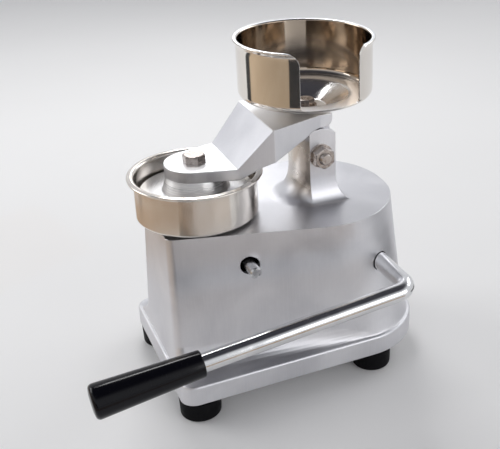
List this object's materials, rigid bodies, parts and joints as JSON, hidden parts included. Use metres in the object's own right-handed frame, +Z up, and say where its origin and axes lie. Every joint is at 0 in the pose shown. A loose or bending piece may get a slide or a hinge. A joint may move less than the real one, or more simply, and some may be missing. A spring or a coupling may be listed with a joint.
{
  "type": "patty press",
  "caption": "Hand-lever patty press: a hinged arm presses a plate into a round bowl, an ejector lifts the patty, and an open-fronted bowl holds paper discs.",
  "frame": {"origin": "on the ground, under the middle of the whole machine's box; the base flange's middle is 27.95 mm towards -X and 39.0 mm towards +Y of it", "axes": "+Z up, +X towards the side that carries the handle, +Y to the rear; the operator stands at -Y, in front of the forming bowl"},
  "size_m": [0.2128, 0.313, 0.2955],
  "materials": {
    "satin_casting": "bead-blasted and brushed satin",
    "mirror_steel": "mirror polished",
    "turned_aluminium": "turned",
    "polished_rod": "polished",
    "black_grip": "gloss",
    "black_rubber": "matte",
    "fastener_steel": "plated",
    "ground_steel": "ground",
    "linkage_steel": "laser-cut, zinc plated",
    "sheet_steel": "mill",
    "brass": "turned",
    "nylon": "moulded"
  },
  "bodies": {
    "frame": {"housing": "satin_casting", "bottom_plate": "sheet_steel", "feet": "black_rubber", "foot_screws": "fastener_steel", "mould_bowl": "mirror_steel", "bowl_spacer": "nylon", "guide_bush": "brass", "guide_nut": "fastener_steel", "pivot_bolt": "fastener_steel", "pivot_nut": "fastener_steel", "pivot_washers": "fastener_steel", "pivot_thrust_washers": "nylon", "near_shaft_bush": "brass", "far_shaft_bush": "brass", "lever_pin": "ground_steel", "lever_pin_clip": "fastener_steel"},
    "handle": {"handle_rod": "polished_rod", "handle_grip": "black_grip", "shaft_crank": "linkage_steel", "crank_screw": "fastener_steel", "crank_pin": "ground_steel", "rear_link_pin": "ground_steel", "rear_link_clip": "fastener_steel"},
    "press_arm": {"press_arm": "satin_casting", "press_plate": "turned_aluminium", "press_plate_bolt": "fastener_steel", "paper_bowl": "mirror_steel", "paper_bowl_washer": "fastener_steel", "paper_bowl_bolt": "fastener_steel", "arm_pin": "ground_steel"},
    "pull_link": {"pull_link": "linkage_steel"},
    "ejector_link": {"ejector_link": "linkage_steel"},
    "ejector_lever": {"ejector_lever": "linkage_steel", "front_link_pin": "ground_steel", "front_link_clip": "fastener_steel"},
    "ejector": {"ejector_disc": "mirror_steel", "ejector_rod": "ground_steel", "disc_screw": "fastener_steel"}
  },
  "joints": [
    {"name": "handle_lift", "type": "hinge", "parent": "frame", "child": "handle", "pos_m": [-0.02795, 0.10547, 0.108], "axis": [-1, 0, 0], "range_deg": [0, 60]},
    {"name": "arm_lift", "type": "hinge", "parent": "frame", "child": "press_arm", "pos_m": [-0.02795, 0.07047, 0.1965], "axis": [-1, 0, 0], "range_deg": [0, 60]},
    {"name": "pull_link_turn", "type": "hinge", "parent": "handle", "child": "pull_link", "pos_m": [-0.02795, 0.11347, 0.11824], "axis": [-1, 0, 0], "range_deg": [-60, 0]},
    {"name": "ejector_link_turn", "type": "hinge", "parent": "handle", "child": "ejector_link", "pos_m": [-0.02795, 0.11353, 0.08753], "axis": [-1, 0, 0], "range_deg": [-60, 0]},
    {"name": "ejector_lever_turn", "type": "hinge", "parent": "frame", "child": "ejector_lever", "pos_m": [-0.02795, -0.00853, 0.125], "axis": [-1, 0, 0], "range_deg": [0, 60]},
    {"name": "ejector_rise", "type": "slide", "parent": "frame", "child": "ejector", "axis": [0, 0, 1], "range_m": [0, 0.0278]}
  ],
  "couplings": [
    {"joint": "arm_lift", "follows": "handle_lift", "ratio": 1},
    {"joint": "pull_link_turn", "follows": "handle_lift", "ratio": -1},
    {"joint": "ejector_link_turn", "follows": "handle_lift", "ratio": -1},
    {"joint": "ejector_lever_turn", "follows": "handle_lift", "ratio": 1},
    {"joint": "ejector_rise", "follows": "handle_lift", "m_per_rad": 0.026478}
  ]
}
